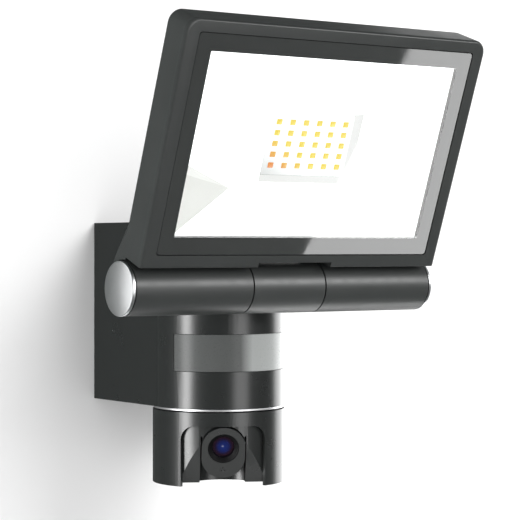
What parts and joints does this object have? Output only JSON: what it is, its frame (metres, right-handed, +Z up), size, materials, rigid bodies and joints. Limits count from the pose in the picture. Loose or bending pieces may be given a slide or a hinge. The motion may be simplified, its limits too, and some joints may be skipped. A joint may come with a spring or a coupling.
{
  "type": "floodlight security camera",
  "caption": "Wall lamp with a tilting LED panel on a barrel hinge, over a round tower with a motion sensor window and a swivelling camera cup that holds a tilting eye.",
  "frame": {"origin": "centre of the wall plate's rear face, on the wall's surface", "axes": "+Z up, +Y into the wall, so the lamp looks towards -Y; +X is on the right hand of someone facing the lamp"},
  "size_m": [0.2238, 0.2208, 0.2806],
  "materials": {
    "anthracite_metal": "satin textured powder coat",
    "anthracite_plastic": "satin moulded plastic",
    "black_plastic": "fine matt moulding",
    "antenna_film": "matt film",
    "black_rubber": "matt",
    "end_cap_metal": "fine turned satin",
    "ring_chrome": "polished",
    "screw_steel": "zinc plated",
    "brass_contacts": "plain",
    "terminal_grey": "moulded",
    "circuit_board": "solder mask",
    "transformer_tape": "tape",
    "capacitor_sleeve": "shrink sleeve",
    "sensor_window": "smoked translucent",
    "white_slider": "plain",
    "front_glass": "clear toughened",
    "mask_black": "printed",
    "reflector_white": "white satin",
    "led_board_white": "white solder mask",
    "led_phosphor": "domed phosphor",
    "thermal_grey": "soft",
    "lens_coating": "violet-blue coating"
  },
  "bodies": {
    "base": {"wall_plate": "black_plastic", "wall_seal": "black_rubber", "base_housing": "anthracite_plastic", "housing_screws": "screw_steel", "cable_grommet": "black_rubber", "terminal_block": "terminal_grey", "terminal_screws": "brass_contacts", "driver_board": "circuit_board", "driver_transformer": "transformer_tape", "driver_capacitors": "capacitor_sleeve", "tower_shell": "anthracite_plastic", "tower_cap": "anthracite_plastic", "tower_screws": "screw_steel", "tower_floor": "black_plastic", "floor_screws": "screw_steel", "control_board": "circuit_board", "board_spacers": "brass_contacts", "wifi_antenna": "antenna_film", "speaker": "black_plastic", "pir_window": "sensor_window", "pir_board": "circuit_board", "pir_sensors": "screw_steel", "accent_ring": "ring_chrome", "pan_washer": "white_slider", "hinge_neck": "anthracite_metal", "neck_screws": "screw_steel", "hinge_shaft": "screw_steel", "hinge_seals": "black_rubber", "spring_washers": "screw_steel", "shaft_nuts": "screw_steel"},
    "head": {"head_housing": "anthracite_metal", "left_barrel": "anthracite_metal", "right_barrel": "anthracite_metal", "barrel_screws": "screw_steel", "left_end_cap": "end_cap_metal", "right_end_cap": "end_cap_metal", "glass_pane": "front_glass", "glass_gasket": "black_rubber", "mask_frame": "mask_black", "reflector": "reflector_white", "led_board": "led_board_white", "led_chips": "led_phosphor", "thermal_pad": "thermal_grey", "vent_plug": "black_rubber"},
    "camera": {"camera_cup": "anthracite_plastic", "camera_core": "anthracite_plastic", "cup_floor": "black_plastic", "cup_screws": "screw_steel", "pan_retainer": "screw_steel", "tilt_pins": "screw_steel"},
    "eye": {"eye_shell": "anthracite_plastic", "lens_hood": "black_plastic", "lens_glass": "lens_coating", "lens_barrel": "black_plastic", "image_board": "circuit_board", "microphone": "screw_steel"}
  },
  "joints": [
    {"name": "head_tilt", "type": "hinge", "parent": "base", "child": "head", "pos_m": [0, -0.15, 0.018], "axis": [1, 0, 0], "range_deg": [-30, 65]},
    {"name": "camera_pan", "type": "hinge", "parent": "base", "child": "camera", "pos_m": [0, -0.088, -0.06], "axis": [0, 0, 1], "range_deg": [-31, 89]},
    {"name": "camera_tilt", "type": "hinge", "parent": "camera", "child": "eye", "pos_m": [-0.01315, -0.11172, -0.07923], "axis": [0.8746, -0.4848, 0], "range_deg": [0, 20]}
  ]
}
